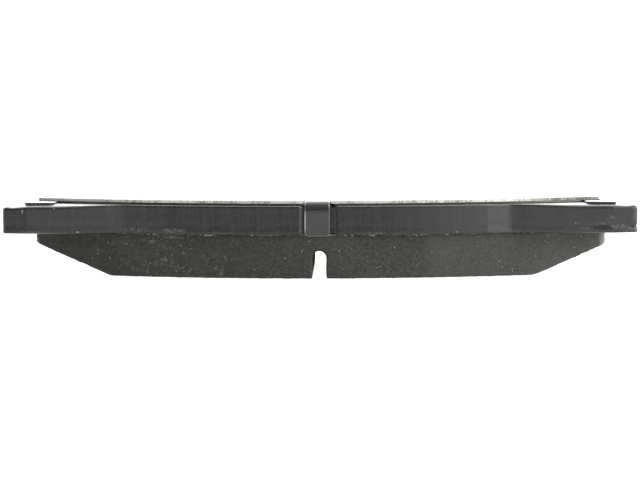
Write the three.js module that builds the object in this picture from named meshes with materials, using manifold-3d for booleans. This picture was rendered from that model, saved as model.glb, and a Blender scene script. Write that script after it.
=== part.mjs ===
// Disc brake pad: a friction block and underlayer moulded to a stamped steel backing plate, a
// rubber-coated inner shim glued to the plate's back, and a folded-tab outer shim clipped over it.
// Millimetres. The pad lies on its friction face: +X runs along the pad, -Y points outward, away from
// the wheel's axle, and +Z points from the brake disc towards the caliper's piston.

import * as THREE from "three";
import { mergeVertices } from "three/addons/utils/BufferGeometryUtils.js";
import Module from "manifold-3d";

const wasm = await Module();
wasm.setup();

// Driving dimensions. A depth is measured inward, along +Y, from the plate's outermost point.
const padDepth = 57.4;
const padHalfLength = 72.1;
const arcSpacing = 4;
const filletSteps = 5;
const beyond = 100;
const margin = 1;

// Thickness of each layer, from the friction face upward.
const frictionThickness = 7.85;
const underlayerThickness = 2.0;
const bondThickness = 0.15;
const plateThickness = 6.5;
const shimGlueThickness = 0.06;
const rubberThickness = 0.08;
const coreThickness = 0.24;
const outerShimThickness = 0.6;

const underlayerBottom = frictionThickness;
const bondBottom = underlayerBottom + underlayerThickness;
const plateBottom = bondBottom + bondThickness;
const plateTop = plateBottom + plateThickness;
const lowerRubberBottom = plateTop + shimGlueThickness;
const coreBottom = lowerRubberBottom + rubberThickness;
const upperRubberBottom = coreBottom + coreThickness;
const outerShimBottom = upperRubberBottom + rubberThickness;
const padTop = outerShimBottom + outerShimThickness;

// Radii about the wheel's axle of the edges that run along the pad.
const plateOuterRadius = 150;
const plateInnerRadius = 104;
const frictionOuterRadius = 148.4;
const frictionInnerRadius = 106;
const shimOuterRadius = 148.5;
const shimInnerRadius = 105.7;

// Backing plate: the arc ends in a shallow hollow, and an ear carries the pad at each end.
const plateRoll = 0.5;
const rollSteps = 3;
const arcEndRadius = 6;
const leftHollow = { arcEndX: 41.3, x: 44.5, depth: 7.2, radius: 2.5 };
const leftRise = [
  { x: 48.4, depth: 6.1, radius: 3 },
  { x: 57, depth: 5.0, radius: 12 },
];
const rightHollow = { arcEndX: 38, x: 43.8, depth: 7.0, radius: 2.5 };
const rightRise = [
  { x: 47, depth: 6.0, radius: 5 },
  { x: 55.5, depth: 5.0, radius: 12 },
];
const earSlant = { x: 66.3, depth: 5.0, radius: 2 };
const earOuterCorner = { x: padHalfLength, depth: 6.2, radius: 1.2 };
const earInnerCorner = { x: padHalfLength, depth: 23.5, radius: 1.5 };
const earRoot = { x: 65.4, depth: 24.5, radius: 2.5 };
const footOuterCorner = { x: 51.6, depth: padDepth, radius: 3 };
const footInnerX = 47.3;
const frontNotch = { halfWidth: 3.9, floor: 2.0, mouthRadius: 0.6 };
const rearNotch = { halfWidth: 5, floor: 44.3, mouthRadius: 0.6 };
const rearTabAngle = THREE.MathUtils.degToRad(13.5);
const plugCentres = [
  [16, 24],
  [44, 31],
];
const plugHoleRadius = 6;
const plugGap = 0.05;
const plugRecess = 0.5;
const plugSides = 32;

// Friction block.
const frictionFront = { x: 67.0, radius: 3 };
const frictionRear = { x: 49, radius: 3 };
const chamferStart = 48.45;
const chamferDrift = 0.6;
const chamferAngle = THREE.MathUtils.degToRad(21.1);
const slotWidth = 3.0;
const slotDepth = 6.2;
const slotSides = 16;

// Shims. The outer one sits a little to one side, as its tabs have play in their notches.
const innerShimDrift = 0.1;
const outerShimDrift = -0.45;
const shimFront = { x: 65.0, radius: 1.0 };
const shimRear = { x: 48.5, radius: 3 };
const wing = { innerX: 60.4, outerX: 67.2, frontDepth: 6.5, rearDepth: 21, radius: 1.4 };
const bendOuterRadius = 2.2;
const bendSteps = 8;
const tabEndHeight = plateBottom - 0.4;
const tabCornerRadius = 0.8;
const tabCornerSteps = 5;
const slitWidth = 0.3;
const frontTab = { angle: 0, halfWidth: 2.8, faceDepth: 0.9, inward: 1 };
const rearTab = { angle: rearTabAngle, halfWidth: 3.75, faceDepth: 45.4, inward: -1 };
const reliefGap = 0.6;

// The corner of an outline at a place given by its x and its depth, rounded to a radius.
function corner(x, depth, radius = 0) {
  return { point: new THREE.Vector2(x, depth - padDepth / 2), radius };
}

function cornerOf(place) {
  return corner(place.x, place.depth, place.radius);
}

// How deep a circle about the wheel's axle lies at a given x.
function arcDepth(circleRadius, x) {
  return plateOuterRadius - Math.sqrt(circleRadius ** 2 - x ** 2);
}

// A corner given as if it were on the pad's middle line, then turned about the wheel's axle.
function turnedCorner(across, depth, angle, radius = 0) {
  const reach = plateOuterRadius - depth;
  const x = across * Math.cos(angle) + reach * Math.sin(angle);
  const fall = reach * Math.cos(angle) - across * Math.sin(angle);
  return corner(x, plateOuterRadius - fall, radius);
}

// The four corners of a cut into an inner edge, from its end nearer the ear to the other.
function innerEdgeCut(edgeRadius, halfWidth, floor, radius = 0) {
  const mouth = arcDepth(edgeRadius, halfWidth);
  return [
    turnedCorner(halfWidth, mouth, rearTabAngle, radius),
    turnedCorner(halfWidth, floor, rearTabAngle, radius),
    turnedCorner(-halfWidth, floor, rearTabAngle, radius),
    turnedCorner(-halfWidth, mouth, rearTabAngle, radius),
  ];
}

// An inner edge with such a cut, from its outer end to the pad's middle line.
function innerEdge(edgeRadius, endX, cut) {
  return [
    ...arcBetween(edgeRadius, endX, cut[0].point.x),
    ...cut,
    ...arcBetween(edgeRadius, cut[3].point.x, 0),
    corner(0, arcDepth(edgeRadius, 0)),
  ];
}

// Points along such a circle between two values of x, without the two ends.
function arcBetween(circleRadius, fromX, toX) {
  const steps = Math.max(2, Math.round(Math.abs(toX - fromX) / arcSpacing));
  return Array.from({ length: steps - 1 }, (_, i) => {
    const x = THREE.MathUtils.lerp(fromX, toX, (i + 1) / steps);
    return corner(x, arcDepth(circleRadius, x));
  });
}

// The arc that rounds off a corner between its two straight neighbours.
function fillet(before, tip, after, radius) {
  const back = before.clone().sub(tip).normalize();
  const on = after.clone().sub(tip).normalize();
  const halfAngle = Math.acos(THREE.MathUtils.clamp(back.dot(on), -1, 1)) / 2;
  const middle = back.clone().add(on).normalize();
  const centre = tip.clone().addScaledVector(middle, radius / Math.sin(halfAngle));
  const start = tip.clone().addScaledVector(back, radius / Math.tan(halfAngle));
  const end = tip.clone().addScaledVector(on, radius / Math.tan(halfAngle));
  const startAngle = start.sub(centre).angle();
  let sweep = end.sub(centre).angle() - startAngle;
  sweep -= 2 * Math.PI * Math.round(sweep / (2 * Math.PI));
  return Array.from({ length: filletSteps + 1 }, (_, i) => {
    const angle = startAngle + (sweep * i) / filletSteps;
    return new THREE.Vector2(Math.cos(angle), Math.sin(angle)).multiplyScalar(radius).add(centre);
  });
}

function rounded(corners) {
  return corners.flatMap(({ point, radius }, i) =>
    radius ? fillet(corners[i - 1].point, point, corners[i + 1].point, radius) : [point],
  );
}

// A closed outline from its right half, which runs from the outer edge's middle to the inner edge's,
// and from its left half, given as its own mirror image.
function twoSidedShape(rightHalf, leftHalf = rightHalf) {
  const left = rounded(leftHalf)
    .filter((point) => point.x > 0)
    .map((point) => new THREE.Vector2(-point.x, point.y))
    .reverse();
  return new THREE.Shape([...rounded(rightHalf), ...left]);
}

// A flat layer of the given outline, cut straight down.
function layer(shape, bottom, thickness) {
  const geometry = new THREE.ExtrudeGeometry(shape, { depth: thickness, bevelEnabled: false });
  return geometry.translate(0, 0, bottom);
}

// A bar along Y whose section is drawn in X and Z.
function barAlongY(section) {
  const geometry = new THREE.ExtrudeGeometry(section, { depth: beyond, bevelEnabled: false });
  return geometry.rotateX(Math.PI / 2).translate(0, beyond / 2, 0);
}

// A strip along X whose section is drawn in Y and Z.
function stripAlongX(section, centreX, width) {
  const geometry = new THREE.ExtrudeGeometry(section, { depth: width, bevelEnabled: false });
  const turn = new THREE.Matrix4().makeBasis(
    new THREE.Vector3(0, 1, 0),
    new THREE.Vector3(0, 0, 1),
    new THREE.Vector3(1, 0, 0),
  );
  return geometry.applyMatrix4(turn).translate(centreX - width / 2, 0, 0);
}

function solid(geometry) {
  const bare = geometry.clone();
  bare.deleteAttribute("normal");
  bare.deleteAttribute("uv");
  const merged = mergeVertices(bare, 1e-4);
  return new wasm.Manifold(
    new wasm.Mesh({
      numProp: 3,
      vertProperties: merged.getAttribute("position").array,
      triVerts: new Uint32Array(merged.getIndex().array),
    }),
  );
}

function geometryOf(made) {
  const mesh = made.getMesh();
  const shared = new THREE.BufferGeometry();
  shared.setAttribute("position", new THREE.BufferAttribute(mesh.vertProperties, 3));
  shared.setIndex(new THREE.BufferAttribute(mesh.triVerts, 1));
  const geometry = shared.toNonIndexed();
  geometry.computeVertexNormals();
  return geometry;
}

// One upright cylinder at each retention hole.
function plugColumns(radius, bottom, top) {
  return plugCentres.flatMap(([x, depth]) =>
    [-x, x].map((plugX) => {
      const column = new THREE.CylinderGeometry(radius, radius, top - bottom, plugSides);
      const y = depth - padDepth / 2;
      return solid(column.rotateX(Math.PI / 2).translate(plugX, y, (bottom + top) / 2));
    }),
  );
}

// Half of the plate's outline, with that side's hollow and its rise from there to the ear.
function plateHalf(hollow, rise) {
  const { halfWidth, floor, mouthRadius } = frontNotch;
  const rearCut = innerEdgeCut(
    plateInnerRadius,
    rearNotch.halfWidth,
    rearNotch.floor,
    rearNotch.mouthRadius,
  );
  return [
    corner(0, floor),
    corner(halfWidth, floor, mouthRadius),
    corner(halfWidth, arcDepth(plateOuterRadius, halfWidth), mouthRadius),
    ...arcBetween(plateOuterRadius, halfWidth, hollow.arcEndX),
    corner(hollow.arcEndX, arcDepth(plateOuterRadius, hollow.arcEndX), arcEndRadius),
    cornerOf(hollow),
    ...rise.map(cornerOf),
    cornerOf(earSlant),
    cornerOf(earOuterCorner),
    cornerOf(earInnerCorner),
    cornerOf(earRoot),
    cornerOf(footOuterCorner),
    corner(footInnerX, padDepth),
    ...innerEdge(plateInnerRadius, footInnerX, rearCut),
  ];
}

// Stamping rolls the plate's upper edge over and leaves its lower edge square.
function backingPlate() {
  const shape = twoSidedShape(
    plateHalf(rightHollow, rightRise),
    plateHalf(leftHollow, leftRise),
  );
  const rolled = new THREE.ExtrudeGeometry(shape, {
    depth: plateThickness,
    bevelThickness: plateRoll,
    bevelSize: plateRoll,
    bevelOffset: -plateRoll,
    bevelSegments: rollSteps,
  }).translate(0, 0, plateBottom - plateRoll);
  const underside = new THREE.BoxGeometry(2 * beyond, beyond, 2 * margin);
  const trimmed = solid(rolled).subtract(solid(underside.translate(0, 0, plateBottom - margin)));
  const holes = plugColumns(plugHoleRadius, plateBottom - margin, plateTop + margin);
  return geometryOf(holes.reduce((plate, hole) => plate.subtract(hole), trimmed));
}

function frictionShape() {
  const frontDepth = arcDepth(frictionOuterRadius, frictionFront.x);
  const rearDepth = arcDepth(frictionInnerRadius, frictionRear.x);
  return twoSidedShape([
    corner(0, arcDepth(frictionOuterRadius, 0)),
    ...arcBetween(frictionOuterRadius, 0, frictionFront.x),
    corner(frictionFront.x, frontDepth, frictionFront.radius),
    corner(frictionRear.x, rearDepth, frictionRear.radius),
    ...arcBetween(frictionInnerRadius, frictionRear.x, 0),
    corner(0, arcDepth(frictionInnerRadius, 0)),
  ]);
}

function chamferCutter(side) {
  const rise = Math.tan(chamferAngle);
  const start = chamferStart + side * chamferDrift;
  return barAlongY(
    new THREE.Shape([
      new THREE.Vector2(side * (start - margin / rise), -margin),
      new THREE.Vector2(side * beyond, -margin),
      new THREE.Vector2(side * beyond, (beyond - start) * rise),
    ]),
  );
}

function slotCutter() {
  const radius = slotWidth / 2;
  const section = new THREE.Shape();
  section.moveTo(-radius, -margin);
  section.lineTo(radius, -margin);
  section.absarc(0, slotDepth - radius, radius, 0, Math.PI);
  const points = section.getPoints(slotSides);
  return barAlongY(new THREE.Shape(points));
}

function frictionBlock() {
  const cutters = [chamferCutter(-1), chamferCutter(1), slotCutter()];
  const block = solid(layer(frictionShape(), 0, frictionThickness));
  return geometryOf(cutters.reduce((cut, cutter) => cut.subtract(solid(cutter)), block));
}

// The underlayer flows through the bonding film and fills the plate's retention holes.
function underlayer() {
  const sheet = solid(layer(frictionShape(), underlayerBottom, underlayerThickness));
  const plugRadius = plugHoleRadius - plugGap;
  const plugs = plugColumns(plugRadius, underlayerBottom + margin, plateTop - plugRecess);
  return geometryOf(plugs.reduce((moulding, plug) => moulding.add(plug), sheet));
}

function bondingAdhesive() {
  const film = solid(layer(frictionShape(), bondBottom, bondThickness));
  const holes = plugColumns(plugHoleRadius, bondBottom - margin, plateBottom + margin);
  return geometryOf(holes.reduce((cut, hole) => cut.subtract(hole), film));
}

// Where a tab leaves the flat of the outer shim.
function bendDepth(tab) {
  return tab.faceDepth + tab.inward * bendOuterRadius;
}

// The inner shim's outline: a wing over each ear, and cut back where the outer shim's tabs fold.
function innerShimShape() {
  const frontRelief = frontTab.halfWidth + reliefGap;
  const frontFloor = bendDepth(frontTab) + reliefGap;
  const rearCut = innerEdgeCut(
    shimInnerRadius,
    rearTab.halfWidth + reliefGap,
    bendDepth(rearTab) - reliefGap,
  );
  return twoSidedShape([
    corner(0, frontFloor),
    corner(frontRelief, frontFloor),
    corner(frontRelief, arcDepth(shimOuterRadius, frontRelief)),
    ...arcBetween(shimOuterRadius, frontRelief, wing.innerX),
    corner(wing.innerX, arcDepth(shimOuterRadius, wing.innerX)),
    corner(wing.innerX, wing.frontDepth, wing.radius),
    corner(wing.outerX, wing.frontDepth, wing.radius),
    corner(wing.outerX, wing.rearDepth, wing.radius),
    corner(shimFront.x - wing.radius, wing.rearDepth),
    corner(shimRear.x, arcDepth(shimInnerRadius, shimRear.x), shimRear.radius),
    ...innerEdge(shimInnerRadius, shimRear.x, rearCut),
  ]);
}

// The outer shim's flat, slit on both sides of each tab as far as the bend.
function outerShimShape() {
  const frontSlit = frontTab.halfWidth + slitWidth;
  const rearCut = innerEdgeCut(
    shimInnerRadius,
    rearTab.halfWidth + slitWidth,
    bendDepth(rearTab),
  );
  return twoSidedShape([
    corner(0, bendDepth(frontTab)),
    corner(frontSlit, bendDepth(frontTab)),
    corner(frontSlit, arcDepth(shimOuterRadius, frontSlit)),
    ...arcBetween(shimOuterRadius, frontSlit, shimFront.x),
    corner(shimFront.x, arcDepth(shimOuterRadius, shimFront.x), shimFront.radius),
    corner(shimRear.x, arcDepth(shimInnerRadius, shimRear.x), shimRear.radius),
    ...innerEdge(shimInnerRadius, shimRear.x, rearCut),
  ]);
}

// A tab's outline seen from its own side, with its two lower corners rounded.
function tabOutline(tab) {
  const side = tab.halfWidth - tabCornerRadius;
  const outline = new THREE.Shape();
  outline.moveTo(tab.halfWidth, padTop + margin);
  outline.lineTo(-tab.halfWidth, padTop + margin);
  outline.absarc(-side, tabEndHeight + tabCornerRadius, tabCornerRadius, Math.PI, Math.PI * 1.5);
  outline.absarc(side, tabEndHeight + tabCornerRadius, tabCornerRadius, Math.PI * 1.5, Math.PI * 2);
  return new THREE.Shape(outline.getPoints(tabCornerSteps));
}

// A tab: flat where it joins the shim, bent through a quarter turn, then straight down in its notch.
function foldedTab(tab, angle) {
  const bendY = bendDepth(tab) - padDepth / 2;
  const bendZ = padTop - bendOuterRadius;
  const around = (radius, from, to) =>
    Array.from({ length: bendSteps + 1 }, (_, i) => {
      const angle = THREE.MathUtils.lerp(from, to, i / bendSteps);
      const away = -tab.inward * radius * Math.sin(angle);
      return new THREE.Vector2(bendY + away, bendZ + radius * Math.cos(angle));
    });
  const innerRadius = bendOuterRadius - outerShimThickness;
  const outside = around(bendOuterRadius, 0, Math.PI / 2);
  const inside = around(innerRadius, Math.PI / 2, 0);
  const rootY = bendY + tab.inward * margin;
  const section = new THREE.Shape([
    new THREE.Vector2(rootY, padTop),
    ...outside,
    new THREE.Vector2(bendY - tab.inward * bendOuterRadius, tabEndHeight),
    new THREE.Vector2(bendY - tab.inward * innerRadius, tabEndHeight),
    ...inside,
    new THREE.Vector2(rootY, outerShimBottom),
  ]);
  const strip = solid(stripAlongX(section, 0, 2 * tab.halfWidth + 2 * margin));
  const folded = geometryOf(strip.intersect(solid(barAlongY(tabOutline(tab)))));
  const axleY = plateOuterRadius - padDepth / 2;
  return folded.translate(0, -axleY, 0).rotateZ(angle).translate(0, axleY, 0);
}

function outerShim() {
  const flat = solid(layer(outerShimShape(), outerShimBottom, outerShimThickness));
  const tabs = [
    foldedTab(frontTab, frontTab.angle),
    foldedTab(rearTab, -rearTab.angle),
    foldedTab(rearTab, rearTab.angle),
  ];
  return geometryOf(tabs.reduce((shim, tab) => shim.add(solid(tab)), flat));
}

const finishes = {
  friction: { color: "#43443f", roughness: 0.95, metalness: 0 },
  underlayer: { color: "#4a4842", roughness: 0.95, metalness: 0 },
  bond: { color: "#8a7f5c", roughness: 0.6, metalness: 0 },
  paint: { color: "#484a47", roughness: 0.5, metalness: 0 },
  glue: { color: "#2b2b28", roughness: 0.7, metalness: 0 },
  rubber: { color: "#1f201e", roughness: 0.75, metalness: 0 },
  core: { color: "#6b6c68", roughness: 0.5, metalness: 0.8 },
  coatedSteel: { color: "#4f524d", roughness: 0.4, metalness: 0.2 },
};

function piece(name, geometry, finish) {
  const mesh = new THREE.Mesh(geometry, new THREE.MeshStandardMaterial(finish));
  mesh.name = name;
  return mesh;
}

const innerShim = new THREE.Group();
innerShim.position.x = innerShimDrift;
innerShim.add(
  piece("shim_adhesive", layer(innerShimShape(), plateTop, shimGlueThickness), finishes.glue),
  piece(
    "inner_shim_lower_rubber",
    layer(innerShimShape(), lowerRubberBottom, rubberThickness),
    finishes.rubber,
  ),
  piece("inner_shim_core", layer(innerShimShape(), coreBottom, coreThickness), finishes.core),
  piece(
    "inner_shim_upper_rubber",
    layer(innerShimShape(), upperRubberBottom, rubberThickness),
    finishes.rubber,
  ),
);

const coverShim = piece("outer_shim", outerShim(), finishes.coatedSteel);
coverShim.position.x = outerShimDrift;

const brakePad = new THREE.Group();
brakePad.add(
  piece("friction_block", frictionBlock(), finishes.friction),
  piece("underlayer", underlayer(), finishes.underlayer),
  piece("bonding_adhesive", bondingAdhesive(), finishes.bond),
  piece("backing_plate", backingPlate(), finishes.paint),
  innerShim,
  coverShim,
);

export default brakePad;
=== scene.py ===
import math

import bmesh
import bpy
from mathutils import Matrix, Vector, noise
from mathutils.bvhtree import BVHTree


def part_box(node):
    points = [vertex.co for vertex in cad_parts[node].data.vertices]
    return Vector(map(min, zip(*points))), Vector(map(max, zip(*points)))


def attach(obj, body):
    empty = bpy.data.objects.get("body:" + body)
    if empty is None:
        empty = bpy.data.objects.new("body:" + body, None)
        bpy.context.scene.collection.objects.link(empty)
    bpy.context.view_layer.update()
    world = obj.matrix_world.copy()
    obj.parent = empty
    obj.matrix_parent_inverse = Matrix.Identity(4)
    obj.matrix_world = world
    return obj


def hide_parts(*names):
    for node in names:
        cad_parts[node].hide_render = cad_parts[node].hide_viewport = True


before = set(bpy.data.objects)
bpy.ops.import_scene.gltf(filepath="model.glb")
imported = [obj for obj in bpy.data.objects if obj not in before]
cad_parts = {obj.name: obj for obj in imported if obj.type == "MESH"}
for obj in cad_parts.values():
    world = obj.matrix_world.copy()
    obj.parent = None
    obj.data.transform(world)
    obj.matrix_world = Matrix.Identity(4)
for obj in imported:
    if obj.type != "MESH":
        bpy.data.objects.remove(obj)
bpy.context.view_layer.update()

MM = 0.001
BODY = "root"

# Places taken from the frame, in metres.
PLATE_LOW, PLATE_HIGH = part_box("backing_plate")
FRICTION_LOW, FRICTION_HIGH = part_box("friction_block")
BOND_LOW, BOND_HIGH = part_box("bonding_adhesive")
SHIM_LOW, SHIM_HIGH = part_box("outer_shim")
APEX_Y = PLATE_LOW.y
INNER_SHIM_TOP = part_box("inner_shim_upper_rubber")[1].z

# Places of the CAD model that a box doesn't give.
PLATE_RADIUS = 150 * MM
WING_FRONT = APEX_Y + 6.5 * MM
WING_INNER_X = 60.4 * MM
SHIM_END_X = 65 * MM
FRONT_TAB_X = -0.45 * MM

# Camera: close and nearly level with the pad's outer edge.
CAMERA_DISTANCE = 517.8 * MM
CAMERA_ELEVATION = math.radians(4.43)
CAMERA_AZIMUTH = math.radians(0.85)
CAMERA_ROLL = math.radians(0.17)
CAMERA_LENS = 130.0
CAMERA_SENSOR = 36.0
CAMERA_TARGET = Vector((0.2 * MM, APEX_Y, 8.9 * MM))

# Mesh detail.
OUTLINE_SPACING = 0.45 * MM
FRICTION_VOXEL = 0.42 * MM
WALL_ROWS = 16
ROLL_ROWS = 10
WELD_DISTANCE = 1e-6

# Edges of the plate and of the cover shim.
STAMPING_BURR = 0.3 * MM
LEFT_EAR_DROOP = 0.42 * MM
RIGHT_EAR_DROOP = 0.25 * MM
SHIM_SOFTENING = 0.05 * MM
TAB_SOFTENING = 0.17 * MM

# Stage.
FLOOR_HALF_SIZE = 30.0
FLOOR_GAP = 0.05 * MM
FLOOR_GREY = 0.2
BACKDROP_STRENGTH = 1.1
EVERYWHERE_STRENGTH = 0.10

# Soft light: where each patch comes from, the cosines at which it begins and is full, its strength.
LIGHT_PATCHES = {
    "behind": ((0, 1, 0.12), 0.25, 0.85, 4.0),
    "right": ((1, -0.35, 0.35), 0.70, 0.95, 5.5),
    "left": ((-0.85, 0.5, 0.15), 0.85, 0.98, 2.5),
    "overhead": ((0, 0.8, 1), 0.5, 0.9, 2.5),
    "front_top": ((0, -0.6, 0.8), 0.6, 0.95, 0.3),
}


def smoothstep(low, high, value):
    share = min(1.0, max(0.0, (value - low) / (high - low)))
    return share * share * (3.0 - 2.0 * share)


def grain(point, per_mm, offset=0.0):
    """Smooth noise from -1 to 1 at a point in metres, with so many bumps a millimetre."""
    return noise.noise(point * (per_mm / MM) + Vector((offset, offset, offset)))


# Meshes

def welded(node):
    bm = bmesh.new()
    bm.from_mesh(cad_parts[node].data)
    bmesh.ops.remove_doubles(bm, verts=bm.verts, dist=WELD_DISTANCE)
    return bm


def signed_area(loop):
    return sum(a.x * b.y - b.x * a.y for a, b in zip(loop, loop[1:] + loop[:1])) / 2


def outlines(node, height):
    """The edges of a CAD node's flat face at a height: the outer one first, all anticlockwise."""
    bm = welded(node)

    def lies_flat(face):
        return all(abs(v.co.z - height) < WELD_DISTANCE for v in face.verts)

    beside = {}
    for edge in bm.edges:
        if len(edge.link_faces) == 2 and sum(map(lies_flat, edge.link_faces)) == 1:
            for v in edge.verts:
                beside.setdefault(v, []).append(edge.other_vert(v))
    loops = []
    while beside:
        start, (here, _) = next(iter(beside.items()))
        loop, before = [start], start
        while here is not start:
            loop.append(here)
            before, here = here, next(v for v in beside[here] if v is not before)
        for v in loop:
            del beside[v]
        points = [Vector((v.co.x, v.co.y)) for v in loop]
        loops.append(points if signed_area(points) > 0 else points[::-1])
    bm.free()
    return sorted(loops, key=signed_area, reverse=True)


def refined(loop, spacing, smoothings=0):
    points = []
    for a, b in zip(loop, loop[1:] + loop[:1]):
        steps = max(1, round((b - a).length / spacing))
        points += [a.lerp(b, i / steps) for i in range(steps)]
    for _ in range(smoothings):
        after = points[1:] + points[:1]
        before = points[-1:] + points[:-1]
        points = [(a + 2 * p + b) / 4 for a, p, b in zip(before, points, after)]
    return points


def outward(points):
    """The outward direction at each point of an anticlockwise loop."""
    after = points[1:] + points[:1]
    before = points[-1:] + points[:-1]
    return [Vector((b.y - a.y, a.x - b.x)).normalized() for a, b in zip(before, after)]


def new_piece(name, bm, sharp_angle=35.0):
    mesh = bpy.data.meshes.new(name)
    bmesh.ops.recalc_face_normals(bm, faces=bm.faces)
    bm.to_mesh(mesh)
    bm.free()
    mesh.shade_smooth()
    mesh.set_sharp_from_angle(angle=math.radians(sharp_angle))
    piece = bpy.data.objects.new(name, mesh)
    bpy.context.scene.collection.objects.link(piece)
    steady = piece.modifiers.new("flat_faces_stay_flat", "WEIGHTED_NORMAL")
    steady.keep_sharp = True
    return piece


def add_wall(bm, rings):
    """Joins rings of points, lowest first, into a wall, and returns the end edges."""
    verts = [[bm.verts.new(p) for p in ring] for ring in rings]
    for low, high in zip(verts, verts[1:]):
        for i in range(len(low)):
            bm.faces.new((low[i - 1], low[i], high[i], high[i - 1]))
    ends = []
    for ring in (verts[0], verts[-1]):
        ends.append([bm.edges.get((ring[i - 1], ring[i])) for i in range(len(ring))])
    return ends


def lofted(name, rings, hole_loops, low, high, sharp_angle=35.0):
    """A closed mesh: an outer wall through rings, straight walls at the holes, and flat ends."""
    bm = bmesh.new()
    bottom, top = add_wall(bm, rings)
    for loop in hole_loops:
        hole_rings = [[Vector((p.x, p.y, z)) for p in loop] for z in (low, high)]
        hole_bottom, hole_top = add_wall(bm, hole_rings)
        bottom += hole_bottom
        top += hole_top
    for edges, way in ((bottom, -1.0), (top, 1.0)):
        bmesh.ops.triangle_fill(bm, use_beauty=True, edges=edges, normal=Vector((0, 0, way)))
    return new_piece(name, bm, sharp_angle)


def plate_profile(roll, roll_reach, height):
    """Heights and insets of the plate's cut edge, from its underside to its rolled top."""
    burr = STAMPING_BURR
    rows = [(0.0, burr), (0.3 * burr, 0.3 * burr), (burr, 0.0)]
    rows += [(burr + (height - roll - burr) * i / WALL_ROWS, 0.0) for i in range(1, WALL_ROWS)]
    for i in range(ROLL_ROWS + 1):
        turn = math.pi / 2 * i / ROLL_ROWS
        rows.append((height - roll * (1 - math.sin(turn)), roll_reach * (1 - math.cos(turn))))
    return rows


def plate_relief(point, height_share):
    """How far the stamped edge lies back: drag lines, a rougher torn zone, a tear on one ear."""
    above = point.z - PLATE_LOW.z
    streak = Vector((point.x, point.y, 0.12 * point.z))
    inset = 0.012 * MM * (1 + grain(streak, 1.6)) + 0.008 * MM * (1 + grain(point, 3.0))
    torn_top = (2.3 + 0.5 * grain(Vector((point.x, point.y, 0)), 0.15)) * MM
    torn = 1.0 - smoothstep(torn_top - 0.25 * MM, torn_top + 0.25 * MM, above)
    inset += torn * MM * (0.02 + 0.03 * grain(point, 1.2, 7.0))
    on_ear = smoothstep(60 * MM, 66 * MM, point.x + 3 * MM * grain(point, 0.4, 3.0))
    along = Vector((point.x, point.y, 0))
    tear_height = (1.5 + 0.6 * grain(along, 0.2, 11.0) + 0.35 * grain(along, 0.7, 8.0)) * MM
    tear_half = (0.3 + 0.18 * grain(along, 0.5, 14.0)) * MM
    tear = math.exp(-(((above - tear_height) / tear_half) ** 2))
    inset += on_ear * tear * MM * (0.32 + 0.25 * grain(point, 0.7, 5.0))
    return inset * min(1.0, 4 * height_share, 4 * (1 - height_share))


def ear_droop(x):
    """How far the top of an ear lies below the plate's flat, more on the left ear."""
    droop = LEFT_EAR_DROOP if x < 0 else RIGHT_EAR_DROOP
    return droop * smoothstep(65 * MM, 71 * MM, abs(x))


def backing_plate():
    loops = outlines("backing_plate", PLATE_LOW.z)
    edge = refined(loops[0], OUTLINE_SPACING, smoothings=3)
    ways = outward(edge)
    height = PLATE_HIGH.z - PLATE_LOW.z
    profiles = []
    for p in edge:
        roll = (0.4 + 0.5 * smoothstep(46 * MM, 62 * MM, abs(p.x))) * MM
        reach = 0.5 + 1.5 * smoothstep(46 * MM, 60 * MM, abs(p.x))
        reach -= 1.1 * smoothstep(69.8 * MM, 71.3 * MM, abs(p.x))
        profiles.append(plate_profile(roll, reach * MM, height))
    rings = []
    for row in range(len(profiles[0])):
        ring = []
        for p, way, profile in zip(edge, ways, profiles):
            rise, inset = profile[row]
            rise -= ear_droop(p.x) * (rise / height) ** 4
            place = Vector((p.x, p.y, PLATE_LOW.z + rise))
            inset += plate_relief(place, rise / height)
            ring.append(place - inset * Vector((way.x, way.y, 0)))
        rings.append(ring)
    return lofted("backing_plate_steel", rings, loops[1:], PLATE_LOW.z, PLATE_HIGH.z)


def lining_solid():
    """The friction block and the underlayer as one closed skin, without the faces between them."""
    mesh = bpy.data.meshes.new("lining_source")
    bm = bmesh.new()
    for node in ("friction_block", "underlayer"):
        bm.from_mesh(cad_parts[node].data)
    bmesh.ops.remove_doubles(bm, verts=bm.verts, dist=WELD_DISTANCE)

    def lies_between(face):
        return all(abs(v.co.z - FRICTION_HIGH.z) < WELD_DISTANCE for v in face.verts)

    between = [face for face in bm.faces if lies_between(face)]
    bmesh.ops.delete(bm, geom=between, context="FACES")
    bmesh.ops.remove_doubles(bm, verts=bm.verts, dist=WELD_DISTANCE)
    bm.to_mesh(mesh)
    bm.free()
    return mesh


def remeshed(mesh, voxel):
    source = bpy.data.objects.new(mesh.name, mesh)
    bpy.context.scene.collection.objects.link(source)
    remesh = source.modifiers.new("voxels", "REMESH")
    remesh.mode = "VOXEL"
    remesh.voxel_size = voxel
    graph = bpy.context.evaluated_depsgraph_get()
    fine = bmesh.new()
    fine.from_object(source, graph)
    bpy.data.objects.remove(source)
    bpy.data.meshes.remove(mesh)
    return fine


def moulded_relief(point, sharpness):
    """How far a moulded surface lies back: grain, scattered pores, and crumbled edges."""
    depth = 0.03 * MM * (1 + grain(point, 0.9)) + 0.02 * MM * (1 + grain(point, 2.2, 4.0))
    pore = smoothstep(0.42, 0.62, grain(point, 0.55, 9.0))
    depth += 0.12 * MM * pore
    crumble = max(0.0, 0.15 + grain(point, 0.5, 2.0))
    return depth + 0.35 * MM * sharpness * crumble


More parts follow.
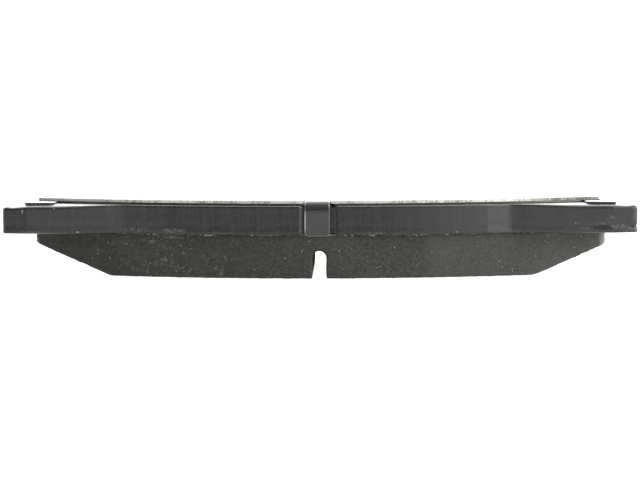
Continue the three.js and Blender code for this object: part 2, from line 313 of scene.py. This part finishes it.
def lining():
    """The moulded skin with grain, pores and crumbled edges, but flat where the plate covers it."""
    bm = remeshed(lining_solid(), FRICTION_VOXEL)
    bm.normal_update()
    covered = BOND_LOW.z - 0.5 * FRICTION_VOXEL
    moves = {}
    for v in bm.verts:
        if v.co.z > covered:
            continue
        middle = sum((e.other_vert(v).co for e in v.link_edges), Vector()) / len(v.link_edges)
        sharpness = min(1.0, max(0.0, (v.co - middle).dot(v.normal) / (0.25 * FRICTION_VOXEL)))
        moves[v] = v.normal * moulded_relief(v.co, sharpness)
    for v, move in moves.items():
        v.co -= move
        v.co.z = max(v.co.z, FRICTION_LOW.z)
    return bm


def lining_part(name, skin, side):
    """The part of the lining above (1) or below (-1) the top of the friction block."""
    bm = skin.copy()
    cut = bmesh.ops.bisect_plane(
        bm,
        geom=bm.verts[:] + bm.edges[:] + bm.faces[:],
        dist=1e-8,
        plane_co=Vector((0, 0, FRICTION_HIGH.z)),
        plane_no=Vector((0, 0, -side)),
        clear_outer=True,
    )
    rim = [e for e in cut["geom_cut"] if isinstance(e, bmesh.types.BMEdge)]
    bmesh.ops.triangle_fill(bm, use_beauty=True, edges=rim, normal=Vector((0, 0, -side)))
    return new_piece(name, bm, sharp_angle=60.0)


def bonding_adhesive():
    """The film, with a bead of squeezed-out adhesive that stands irregularly proud of the block."""
    loops = outlines("bonding_adhesive", BOND_LOW.z)
    edge = refined(loops[0], OUTLINE_SPACING, smoothings=2)
    ways = outward(edge)
    bead = []
    for p in edge:
        at = Vector((p.x, p.y, 0))
        blob = max(0.0, 0.35 * grain(at, 0.3, 1.0) + 0.7 * grain(at, 1.5, 6.0))
        bead.append((min(0.75, 0.08 + 1.3 * blob) * MM, min(0.3, 0.75 * blob) * MM))

    def ring(reach_share, drop_share, z):
        points = []
        for p, way, (reach, drop) in zip(edge, ways, bead):
            out = reach * reach_share
            points.append(Vector((p.x + way.x * out, p.y + way.y * out, z - drop * drop_share)))
        return points

    rings = [
        ring(0.0, 0.0, BOND_LOW.z),
        ring(0.12, 0.9, BOND_LOW.z),
        ring(0.55, 1.0, BOND_LOW.z),
        ring(0.9, 0.55, BOND_LOW.z),
        ring(1.0, 0.0, BOND_LOW.z + 0.4 * (BOND_HIGH.z - BOND_LOW.z)),
        ring(0.95, 0.0, BOND_HIGH.z),
    ]
    return lofted("adhesive_film", rings, loops[1:], BOND_LOW.z, BOND_HIGH.z, sharp_angle=50.0)


def is_corner(edge):
    return len(edge.link_faces) == 2 and edge.calc_face_angle() > math.radians(50)


def is_on_front_tab(edge):
    """The tab that folds into the notch reaches further outward than the rest of the cover shim."""
    return all(v.co.y < SHIM_LOW.y + 2.25 * MM and abs(v.co.x) < 3.3 * MM for v in edge.verts)


def outer_shim():
    """The cover shim with softened edges: coated on its broad faces, bare where it was cut."""
    thickness = SHIM_HIGH.z - INNER_SHIM_TOP
    bm = welded("outer_shim")
    bmesh.ops.dissolve_limit(
        bm, angle_limit=math.radians(1), verts=bm.verts, edges=bm.edges, delimit={"NORMAL"}
    )
    bmesh.ops.triangulate(bm, faces=[f for f in bm.faces if len(f.verts) > 4])
    bm.normal_update()
    tree = BVHTree.FromBMesh(bm)
    for face in bm.faces:
        start = face.calc_center_median() - face.normal * (0.01 * MM)
        through = tree.ray_cast(start, -face.normal)[3]
        broad = through is not None and through < 1.15 * thickness
        face.material_index = 0 if broad else 1
    for on_tab, softening in ((True, TAB_SOFTENING), (False, SHIM_SOFTENING)):
        corners = [e for e in bm.edges if is_corner(e) and is_on_front_tab(e) == on_tab]
        bmesh.ops.bevel(
            bm,
            geom=corners,
            offset=softening,
            segments=2,
            profile=0.5,
            affect="EDGES",
            clamp_overlap=not on_tab,
            material=1,
        )
    for v in bm.verts:
        v.co.z = min(v.co.z, SHIM_HIGH.z)
    return new_piece("cover_shim", bm, sharp_angle=20.0)


# Materials. Every pattern is laid out in millimetres of the part's own frame, and so are the places
# and sizes below.

# Where the paint is rubbed grey, and the half sizes of each scuff.
PAINT_SCUFFS = (
    ((65.9, -23.4, 13.2), (1.2, 1.2, 1.1)),
    ((67.6, -23.2, 11.6), (2.6, 1.6, 0.5)),
    ((-40.0, -22.0, 10.9), (7.0, 2.5, 0.6)),
    ((60.5, -23.4, 11.0), (2.6, 1.2, 0.35)),
    ((63.6, -23.4, 12.0), (1.5, 1.2, 0.45)),
    ((-34.0, -26.0, 10.8), (4.5, 3.0, 0.8)),
)

# Where the corners of the front notch are painted lighter, as painted light in the recess, and the
# half sizes of each patch.
NOTCH_PAINTED_LIGHT = (
    ((-3.8, -27.0, 13.2), (1.3, 2.2, 7.0)),
    ((4.1, -27.0, 13.2), (0.9, 2.2, 7.0)),
)

# Where the paint is knocked through to the steel, and the half sizes of each nick.
PAINT_NICKS = (
    ((-67.3, -23.5, 15.1), (0.22, 1.0, 0.55)),
    ((-54.8, -23.7, 10.35), (0.45, 1.0, 0.22)),
    ((57.9, -23.7, 12.2), (0.16, 1.0, 0.3)),
)

# Where the moulded block is knocked pale, and the half sizes of each flake.
FRICTION_FLAKES = (
    ((-47.0, -22.0, 7.6), (0.75, 4.0, 0.65)),
    ((-50.4, -21.0, 5.8), (0.55, 4.0, 0.45)),
    ((-48.0, -21.5, 4.1), (0.45, 4.0, 0.5)),
    ((-37.8, -25.0, 8.2), (0.7, 4.0, 0.6)),
    ((-35.8, -25.0, 3.9), (0.6, 4.0, 0.75)),
    ((-39.1, -25.0, 2.4), (0.8, 4.0, 0.35)),
    ((-32.7, -26.0, 1.7), (0.5, 4.0, 0.35)),
    ((-33.4, -26.0, 5.3), (0.6, 4.0, 0.5)),
    ((-31.5, -26.0, 7.4), (0.5, 4.0, 0.4)),
    ((-34.0, -26.0, 9.2), (4.5, 4.0, 0.6)),
    ((54.0, -20.0, 9.1), (4.0, 4.0, 0.7)),
)

# A painted glint on the left cut edge of the front tab, and its half sizes.
TAB_PAINTED_GLINT = ((-3.5, -27.6, 13.0), (1.0, 1.6, 3.2))

# Colours used more than once.
# The grey of worn paint on the drag lines, also used as painted light on the plate's right part.
WORN_AND_LIT_PAINT = (0.033, 0.036, 0.033)
# The grey of rubbed paint on the scuffs, also used as painted light in the corners of the front
# notch.
RUBBED_AND_LIT_GREY = (0.085, 0.09, 0.085)
PALE_GRIT = (0.14, 0.145, 0.125)


class Surface:
    """A node material with a Principled shader, and short calls for the nodes it needs."""

    def __init__(self, name, **constants):
        self.material = bpy.data.materials.new(name)
        self.material.use_nodes = True
        self.nodes = self.material.node_tree.nodes
        self.links = self.material.node_tree.links
        self.shader = next(n for n in self.nodes if n.type == "BSDF_PRINCIPLED")
        self.place = self.nodes.new("ShaderNodeTexCoord").outputs["Object"]
        for socket, value in constants.items():
            self.shader.inputs[socket.replace("_", " ")].default_value = value

    def node(self, kind, inputs=None, **settings):
        made = self.nodes.new(kind)
        for key, value in settings.items():
            setattr(made, key, value)
        for key, value in (inputs or {}).items():
            self.feed(made.inputs[key], value)
        return made

    def feed(self, socket, value):
        if isinstance(value, bpy.types.NodeSocket):
            self.links.new(value, socket)
        else:
            socket.default_value = value

    def vector(self, operation, a, b):
        return self.node("ShaderNodeVectorMath", {0: a, 1: b}, operation=operation).outputs[0]

    def length(self, value):
        return self.node("ShaderNodeVectorMath", {0: value}, operation="LENGTH").outputs["Value"]

    def scaled(self, per_mm):
        """The place times so many units a millimetre along X, Y and Z."""
        stretch = per_mm if isinstance(per_mm, tuple) else (per_mm,) * 3
        factor = tuple(s / MM for s in stretch)
        return self.vector("MULTIPLY", self.place, factor)

    def noise(self, per_mm, detail=3.0, rough=0.55, lean=0.0):
        inputs = {"Vector": self.scaled(per_mm), "Scale": 1.0, "Detail": detail}
        inputs |= {"Roughness": rough, "Distortion": lean}
        return self.node("ShaderNodeTexNoise", inputs).outputs["Fac"]

    def math(self, operation, a, b=0.0):
        return self.node("ShaderNodeMath", {0: a, 1: b}, operation=operation).outputs[0]

    def product(self, value, *factors):
        for factor in factors:
            value = self.math("MULTIPLY", value, factor)
        return value

    def rest(self, share):
        """What a share leaves of one."""
        return self.math("SUBTRACT", 1.0, share)

    def between(self, value, low, high, to_low=0.0, to_high=1.0):
        """Value mapped smoothly from low..high to to_low..to_high."""
        inputs = {"Value": value, "From Min": low, "From Max": high}
        inputs |= {"To Min": to_low, "To Max": to_high}
        made = self.node("ShaderNodeMapRange", inputs, interpolation_type="SMOOTHSTEP")
        return made.outputs["Result"]

    def blend(self, share, a, b, kind="MIX"):
        made = self.node("ShaderNodeMix", data_type="RGBA", blend_type=kind)
        sockets = [s for s in made.inputs if s.enabled]
        for socket, value in zip(sockets, (share, a, b)):
            if isinstance(value, tuple):
                value = (*value, 1.0)
            self.feed(socket, value)
        return next(s for s in made.outputs if s.enabled)

    def flecks(self, per_mm, size, share, channel="Red"):
        """Small spots of this size in cells, in a share of the cells that a channel picks."""
        cells = self.node("ShaderNodeTexVoronoi", {"Vector": self.scaled(per_mm), "Scale": 1.0})
        chosen = self.node("ShaderNodeSeparateColor", {"Color": cells.outputs["Color"]})
        picked = self.math("GREATER_THAN", chosen.outputs[channel], 1.0 - share)
        inside = self.between(cells.outputs["Distance"], size, size * 0.55)
        return self.product(picked, inside)

    def near(self, along, reach):
        """One at a place along X, falling to nothing at a distance from it."""
        away = self.math("ABSOLUTE", self.math("SUBTRACT", self.axis("X"), along))
        return self.between(away, reach, 0.4 * reach)

    def spot(self, centre_mm, size_mm):
        """One inside an ellipsoid of the given half sizes, fading out at its skin."""
        centre = tuple(c * MM for c in centre_mm)
        shares = tuple(1 / (s * MM) for s in size_mm)
        inside = self.vector("MULTIPLY", self.vector("SUBTRACT", self.place, centre), shares)
        return self.between(self.length(inside), 1.0, 0.5)

    def axis(self, name):
        return self.node("ShaderNodeSeparateXYZ", {0: self.place}).outputs[name]

    def off_middle(self):
        """The distance along X from the pad's middle plane."""
        return self.math("ABSOLUTE", self.axis("X"))

    def colour(self, value):
        self.feed(self.shader.inputs["Base Color"], value)

    def roughness(self, value):
        self.feed(self.shader.inputs["Roughness"], value)

    def bump(self, height, depth_mm):
        inputs = {"Height": height, "Distance": depth_mm * MM, "Strength": 1.0}
        made = self.node("ShaderNodeBump", inputs)
        self.feed(self.shader.inputs["Normal"], made.outputs["Normal"])


def plate_paint():
    surface = Surface("plate_paint", Specular_IOR_Level=0.45)
    mottling = surface.noise(0.12, detail=5.0)
    colour = surface.blend(mottling, (0.010, 0.0112, 0.0102), (0.020, 0.0222, 0.020))
    # Painted shade: the paint is made darker around the middle of the plate.
    colour = surface.blend(surface.near(-6 * MM, 52 * MM), colour, (0.0045, 0.0055, 0.0052))
    # Painted light: the right part of the plate is made lighter, as if lit from the right.
    lit_right_part = surface.between(surface.axis("X"), 12 * MM, 32 * MM, 0.0, 0.35)
    colour = surface.blend(lit_right_part, colour, WORN_AND_LIT_PAINT)
    # Painted shade: both ends of the plate are made darker, as the shade on their slanted faces.
    shaded_right_end = surface.between(surface.axis("X"), 65.8 * MM, 66.6 * MM, 0.0, 0.6)
    colour = surface.blend(shaded_right_end, colour, (0.008, 0.009, 0.008))
    shaded_left_end = surface.between(surface.axis("X"), -66.0 * MM, -66.6 * MM, 0.0, 0.8)
    colour = surface.blend(shaded_left_end, colour, (0.004, 0.0045, 0.004))
    drag = surface.noise((1.8, 1.8, 0.10), detail=3.0)
    colour = surface.blend(surface.between(drag, 0.35, 0.75, 0.0, 0.32), colour, WORN_AND_LIT_PAINT)
    low = surface.between(surface.axis("Z"), PLATE_LOW.z + 1.9 * MM, PLATE_LOW.z + 0.2 * MM)
    patchy = surface.between(surface.noise(0.07, detail=2.0), 0.45, 0.62)
    dusty = surface.product(low, patchy, surface.noise(2.6, detail=4.0))
    dusty = surface.between(dusty, 0.38, 0.75, 0.0, 0.6)
    colour = surface.blend(dusty, colour, (0.12, 0.125, 0.11))
    chips = surface.flecks(0.45, 0.10, 0.10)
    colour = surface.blend(chips, colour, (0.15, 0.16, 0.14))
    ragged = surface.between(surface.noise(1.6, detail=4.0), 0.42, 0.6)
    for centre, size in PAINT_SCUFFS:
        share = surface.product(surface.spot(centre, size), ragged, 0.8)
        colour = surface.blend(share, colour, RUBBED_AND_LIT_GREY)
    for centre, size in PAINT_NICKS:
        colour = surface.blend(surface.spot(centre, size), colour, (0.17, 0.18, 0.175))
    # Painted light: the corners of the front notch are made lighter, standing in for light reaching
    # into the recess.
    inside = surface.between(surface.axis("Y"), PLATE_LOW.y + 0.25 * MM, PLATE_LOW.y + 0.6 * MM)
    for centre, size in NOTCH_PAINTED_LIGHT:
        share = surface.product(surface.spot(centre, size), inside)
        colour = surface.blend(share, colour, RUBBED_AND_LIT_GREY)
    surface.colour(colour)
    surface.roughness(surface.between(surface.noise(0.9, detail=4.0), 0.25, 0.8, 0.24, 0.4))
    peel = surface.noise(2.4, detail=4.0, rough=0.6)
    surface.bump(surface.math("ADD", peel, surface.product(drag, 1.2)), 0.02)
    return surface.material


def friction_surface(name, warm=0.0):
    surface = Surface(name, Specular_IOR_Level=0.3)
    broad = surface.noise(0.10, detail=3.0)
    fine = surface.noise(1.7, detail=7.0, rough=0.75)
    pale_grain = (0.044 + warm, 0.046 + 0.8 * warm, 0.042)
    colour = surface.blend(surface.between(fine, 0.3, 0.7), (0.015, 0.016, 0.0145), pale_grain)
    tint = surface.blend(surface.noise(1.1, detail=3.0), (0.30, 0.52, 0.50), (0.62, 0.50, 0.36))
    colour = surface.blend(0.35, colour, tint, "SOFT_LIGHT")
    # Painted light: the right part of the block's outer side is made paler, and its right end
    # palest, as if lit from the right.
    outer_side = surface.between(surface.axis("Y"), -4 * MM, -12 * MM)
    lit_right_side = surface.between(surface.axis("X"), 23 * MM, 26 * MM, 0.0, 0.42)
    colour = surface.blend(surface.product(lit_right_side, outer_side), colour, (0.080, 0.083, 0.076))
    lit_far_right = surface.between(surface.axis("X"), 42 * MM, 56 * MM, 0.0, 0.3)
    colour = surface.blend(lit_far_right, colour, (0.12, 0.124, 0.112))
    dust = surface.between(surface.product(broad, surface.noise(1.4, detail=6.0)), 0.27, 0.42)
    colour = surface.blend(surface.product(dust, 0.18), colour, (0.11, 0.112, 0.10))
    scuffed = surface.product(
        surface.near(-39 * MM, 14 * MM), surface.noise(0.8, detail=6.0, rough=0.7)
    )
    colour = surface.blend(surface.between(scuffed, 0.52, 0.70, 0.0, 0.6), colour, PALE_GRIT)
    hills = surface.noise(0.55, detail=2.0)
    contour = surface.math("ABSOLUTE", surface.math("SUBTRACT", hills, 0.5))
    broken = surface.between(surface.noise(0.6, detail=2.0, lean=0.4), 0.57, 0.64)
    scratched = surface.product(
        surface.between(contour, 0.030, 0.010), broken, surface.near(-36 * MM, 22 * MM), 0.75
    )
    colour = surface.blend(scratched, colour, (0.17, 0.175, 0.15))
    ragged = surface.between(surface.noise(1.8, detail=4.0), 0.40, 0.52)
    for centre, size in FRICTION_FLAKES:
        share = surface.product(surface.spot(centre, size), ragged, 0.85)
        colour = surface.blend(share, colour, (0.20, 0.205, 0.17))
    # Paler on the outer corner at the right end of the block.
    pale_end_corner = surface.product(
        surface.between(surface.axis("X"), 63.9 * MM, 65.5 * MM),
        surface.between(surface.axis("Y"), -8.5 * MM, -11 * MM),
    )
    colour = surface.blend(pale_end_corner, colour, (0.24, 0.27, 0.235))
    pores = surface.flecks(1.1, 0.3, 0.22, "Green")
    colour = surface.blend(surface.product(pores, 0.5), colour, (0.008, 0.008, 0.008))
    specks = surface.between(surface.noise(2.3, detail=3.0, rough=0.6), 0.60, 0.72)
    colour = surface.blend(surface.product(specks, 0.6), colour, PALE_GRIT)
    grit = surface.between(surface.noise(3.0, detail=3.0, rough=0.7), 0.35, 0.65)
    colour = surface.blend(surface.product(grit, 0.3), colour, (0.085, 0.082, 0.062))
    dark_grit = surface.product(surface.rest(grit), 0.3)
    colour = surface.blend(dark_grit, colour, (0.022, 0.024, 0.022))
    pale = surface.flecks((1.3, 1.3, 2.0), 0.22, 0.05)
    colour = surface.blend(pale, colour, (0.30, 0.31, 0.27))
    brass = surface.flecks(0.9, 0.15, 0.05, "Blue")
    colour = surface.blend(brass, colour, (0.20, 0.16, 0.06))
    surface.colour(colour)
    surface.roughness(surface.between(surface.noise(1.1), 0.3, 0.7, 0.72, 0.95))
    relief = surface.math("SUBTRACT", fine, surface.product(pores, 0.5))
    face_z = FRICTION_LOW.z
    face = surface.between(surface.axis("Z"), face_z + 0.12 * MM, face_z + 0.02 * MM)
    scratches = surface.product(face, surface.noise((0.08, 3.0, 1.0), detail=4.0))
    surface.bump(surface.math("ADD", relief, scratches), 0.12)
    return surface.material


def adhesive_surface():
    surface = Surface("bond", Specular_IOR_Level=0.5)
    tone = surface.noise(0.9, detail=4.0)
    cured = surface.between(tone, 0.4, 0.62)
    colour = surface.blend(cured, (0.045, 0.043, 0.034), (0.22, 0.215, 0.165))
    colour = surface.blend(surface.flecks(1.6, 0.3, 0.2), colour, (0.42, 0.42, 0.36))
    surface.colour(colour)
    surface.roughness(surface.between(surface.noise(2.0), 0.3, 0.7, 0.4, 0.7))
    surface.bump(surface.noise(2.2, detail=5.0), 0.08)
    return surface.material


def shim_coat():
    surface = Surface("shim_coat", Specular_IOR_Level=0.5)
    cloud = surface.noise(0.06, detail=4.0)
    colour = surface.blend(cloud, (0.023, 0.025, 0.0225), (0.036, 0.038, 0.0345))
    height = surface.axis("Z")
    top = SHIM_HIGH.z
    # Painted shade: a darker band on the coat at the height of the front tab's bend.
    shaded_bend_band = surface.product(
        surface.between(height, top - 2.9 * MM, top - 2.45 * MM),
        surface.between(height, top - 0.9 * MM, top - 1.5 * MM),
        0.45,
    )
    colour = surface.blend(shaded_bend_band, colour, (0.003, 0.003, 0.003))
    foot = surface.between(height, top - 3.5 * MM, top - 7.5 * MM, 0.0, 0.35)
    colour = surface.blend(foot, colour, (0.010, 0.011, 0.010))
    scuffs = surface.noise((0.05, 1.4, 0.4), detail=5.0, rough=0.65)
    scuffed = surface.between(scuffs, 0.60, 0.72, 0.0, 0.3)
    colour = surface.blend(scuffed, colour, (0.09, 0.09, 0.085))
    colour = surface.blend(surface.flecks(0.5, 0.09, 0.06), colour, (0.18, 0.18, 0.165))
    surface.colour(colour)
    handled = surface.between(height, top - 0.10 * MM, top - 0.03 * MM, 0.0, 0.30)
    smooth = surface.between(surface.noise(0.35, detail=5.0), 0.3, 0.7, 0.17, 0.27)
    surface.roughness(surface.math("ADD", smooth, handled))
    surface.bump(surface.noise(5.0, detail=3.0), 0.002)
    return surface.material


def cut_steel():
    surface = Surface("cut_steel")
    runs = surface.noise((0.25, 0.25, 0.2), detail=4.0, rough=0.65)
    spots = surface.noise((2.4, 2.4, 1.6), detail=3.0, rough=0.6)
    share = surface.between(surface.math("ADD", runs, spots), 0.72, 1.12)
    colour = surface.blend(share, (0.16, 0.15, 0.115), (0.58, 0.60, 0.54))
    dull = surface.between(surface.axis("X"), 44 * MM, 60 * MM, 0.0, 0.6)
    colour = surface.blend(dull, colour, (0.05, 0.048, 0.036))
    # Painted highlight: the cut edge towards the left end is made nearly white and not metallic.
    lit_left_end = surface.between(surface.axis("X"), -46 * MM, -53 * MM, 0.0, 0.9)
    highlight_steel = surface.blend(spots, (0.45, 0.45, 0.38), (1.0, 1.0, 0.95))
    colour = surface.blend(lit_left_end, colour, highlight_steel)
    # Painted shade: the cut edges of the front tab are made dark at the height of its bend.
    on_tab = surface.product(
        surface.near(FRONT_TAB_X, 8 * MM),
        surface.between(surface.axis("Z"), SHIM_HIGH.z - 0.7 * MM, SHIM_HIGH.z - 1.3 * MM),
    )
    shaded_tab_steel = surface.blend(spots, (0.03, 0.03, 0.025), (0.22, 0.215, 0.18))
    colour = surface.blend(on_tab, colour, shaded_tab_steel)
    # Painted highlight: a glint on the left cut edge of the front tab, made nearly white.
    bare = surface.spot(*TAB_PAINTED_GLINT)
    colour = surface.blend(bare, colour, (0.90, 0.90, 0.82))
    surface.colour(colour)
    metal = surface.between(share, 0.0, 0.6, 0.4, 0.8)
    # The painted glint, the painted highlight at the left end and the painted shade on the tab are
    # not metallic.
    metal = surface.product(metal, *(surface.rest(covered) for covered in (on_tab, lit_left_end, bare)))
    surface.feed(surface.shader.inputs["Metallic"], metal)
    surface.roughness(surface.between(spots, 0.3, 0.7, 0.6, 0.4))
    surface.bump(surface.noise((3.0, 3.0, 0.8), detail=4.0), 0.03)
    return surface.material


def shim_rubber(name):
    surface = Surface(name, Specular_IOR_Level=0.4)
    tone = surface.noise(0.5, detail=4.0)
    colour = surface.blend(tone, (0.008, 0.008, 0.0075), (0.019, 0.019, 0.018))
    colour = surface.blend(surface.flecks(1.1, 0.2, 0.1), colour, (0.06, 0.06, 0.055))
    surface.colour(colour)
    worn = surface.between(surface.noise(1.5), 0.3, 0.7, 0.22, 0.34)
    along_y = surface.axis("Y")
    front = surface.between(along_y, WING_FRONT + 1.5 * MM, WING_FRONT + 0.9 * MM, 0.0, 0.6)
    from_axle = surface.vector("SUBTRACT", surface.place, (0.0, APEX_Y + PLATE_RADIUS, 0.0))
    radius = surface.length(surface.vector("MULTIPLY", from_axle, (1.0, 1.0, 0.0)))
    pressed = surface.product(
        surface.between(radius, PLATE_RADIUS + 2.2 * MM, PLATE_RADIUS + 1.2 * MM, 0.0, 0.6),
        surface.between(surface.off_middle(), SHIM_END_X, SHIM_END_X - 0.8 * MM),
    )
    surface.roughness(surface.math("ADD", surface.math("ADD", worn, front), pressed))
    surface.bump(surface.noise(3.5, detail=3.0), 0.004)
    return surface.material


def shim_core():
    surface = Surface("shim_core", Metallic=0.3)
    tone = surface.noise((0.8, 0.8, 2.0), detail=4.0)
    colour = surface.blend(tone, (0.022, 0.021, 0.018), (0.10, 0.097, 0.088))
    reach = surface.off_middle()
    # Paler towards the ends of the core.
    paler_core_ends = surface.product(
        surface.between(reach, 40 * MM, 54 * MM),
        surface.between(reach, WING_INNER_X - 0.2 * MM, WING_INNER_X - 0.8 * MM),
        0.8,
    )
    surface.colour(surface.blend(paler_core_ends, colour, (0.30, 0.30, 0.27)))
    surface.roughness(surface.between(surface.noise(2.0), 0.3, 0.7, 0.45, 0.7))
    surface.bump(surface.noise(3.0), 0.02)
    return surface.material


# Assembly

def clothe(piece, *materials):
    for material in materials:
        piece.data.materials.append(material)


def reclothe(node, material):
    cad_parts[node].data.materials.clear()
    clothe(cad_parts[node], material)


def place_piece(piece, node, slot, *materials):
    clothe(piece, *materials)
    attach(piece, BODY)
    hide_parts(node)


place_piece(backing_plate(), "backing_plate", "plate_paint", plate_paint())
skin = lining()
friction_piece = lining_part("friction_material", skin, -1)
underlayer_piece = lining_part("underlayer_material", skin, 1)
skin.free()
place_piece(friction_piece, "friction_block", "friction", friction_surface("friction"))
place_piece(
    underlayer_piece, "underlayer", "underlayer", friction_surface("underlayer", warm=0.002)
)
place_piece(bonding_adhesive(), "bonding_adhesive", "bond", adhesive_surface())
place_piece(outer_shim(), "outer_shim", "shim_coat", shim_coat(), cut_steel())

rubber = shim_rubber("shim_rubber")
reclothe("inner_shim_lower_rubber", rubber)
reclothe("inner_shim_upper_rubber", rubber)
reclothe("inner_shim_core", shim_core())
reclothe("shim_adhesive", shim_rubber("shim_glue"))


# Stage: a light floor, and soft light that is strongest from behind the pad and from its right.

def add_floor():
    bm = bmesh.new()
    bmesh.ops.create_grid(bm, x_segments=1, y_segments=1, size=FLOOR_HALF_SIZE)
    mesh = bpy.data.meshes.new("floor")
    bm.to_mesh(mesh)
    bm.free()
    floor = bpy.data.objects.new("floor", mesh)
    floor.location.z = FRICTION_LOW.z - FLOOR_GAP
    bpy.context.scene.collection.objects.link(floor)
    glow = bpy.data.materials.new("light_floor")
    glow.use_nodes = True
    shader = next(n for n in glow.node_tree.nodes if n.type == "BSDF_PRINCIPLED")
    shader.inputs["Base Color"].default_value = (FLOOR_GREY, FLOOR_GREY, FLOOR_GREY, 1.0)
    shader.inputs["Roughness"].default_value = 1.0
    shader.inputs["Emission Color"].default_value = (1.0, 1.0, 1.0, 1.0)
    shader.inputs["Emission Strength"].default_value = 1.0
    mesh.materials.append(glow)


def add_world():
    world = bpy.data.worlds.new("soft_studio")
    bpy.context.scene.world = world
    world.use_nodes = True
    nodes, links = world.node_tree.nodes, world.node_tree.links
    nodes.clear()
    direction = nodes.new("ShaderNodeTexCoord").outputs["Generated"]

    def lobe(way, low, high, strength):
        """Light that rises smoothly towards one direction."""
        towards = nodes.new("ShaderNodeVectorMath")
        towards.operation = "DOT_PRODUCT"
        links.new(direction, towards.inputs[0])
        towards.inputs[1].default_value = Vector(way).normalized()
        rise = nodes.new("ShaderNodeMapRange")
        rise.interpolation_type = "SMOOTHSTEP"
        links.new(towards.outputs["Value"], rise.inputs["Value"])
        rise.inputs["From Min"].default_value = low
        rise.inputs["From Max"].default_value = high
        rise.inputs["To Max"].default_value = strength
        return rise.outputs["Result"]

    strength = None
    for patch in LIGHT_PATCHES.values():
        add = nodes.new("ShaderNodeMath")
        add.operation = "ADD"
        links.new(lobe(*patch), add.inputs[0])
        if strength is None:
            add.inputs[1].default_value = EVERYWHERE_STRENGTH
        else:
            links.new(strength, add.inputs[1])
        strength = add.outputs[0]
    light = nodes.new("ShaderNodeBackground")
    light.inputs["Color"].default_value = (1.0, 1.0, 1.0, 1.0)
    links.new(strength, light.inputs["Strength"])
    seen = nodes.new("ShaderNodeBackground")
    seen.inputs["Color"].default_value = (1.0, 1.0, 1.0, 1.0)
    seen.inputs["Strength"].default_value = BACKDROP_STRENGTH
    chooser = nodes.new("ShaderNodeMixShader")
    links.new(nodes.new("ShaderNodeLightPath").outputs["Is Camera Ray"], chooser.inputs["Fac"])
    links.new(light.outputs[0], chooser.inputs[1])
    links.new(seen.outputs[0], chooser.inputs[2])
    links.new(chooser.outputs[0], nodes.new("ShaderNodeOutputWorld").inputs["Surface"])


def add_camera():
    lens = bpy.data.cameras.new("camera")
    lens.lens = CAMERA_LENS
    lens.sensor_width = CAMERA_SENSOR
    lens.clip_start = 0.01
    lens.clip_end = 100.0
    camera = bpy.data.objects.new("camera", lens)
    back = Vector((
        math.sin(CAMERA_AZIMUTH) * math.cos(CAMERA_ELEVATION),
        -math.cos(CAMERA_AZIMUTH) * math.cos(CAMERA_ELEVATION),
        math.sin(CAMERA_ELEVATION),
    ))
    turn = (-back).to_track_quat("-Z", "Y").to_matrix().to_4x4()
    place = Matrix.Translation(CAMERA_TARGET + back * CAMERA_DISTANCE)
    camera.matrix_world = place @ turn @ Matrix.Rotation(-CAMERA_ROLL, 4, "Z")
    bpy.context.scene.collection.objects.link(camera)
    bpy.context.scene.camera = camera


add_floor()
add_world()
add_camera()
bpy.context.scene.view_settings.view_transform = "Standard"
bpy.context.scene.view_settings.look = "None"
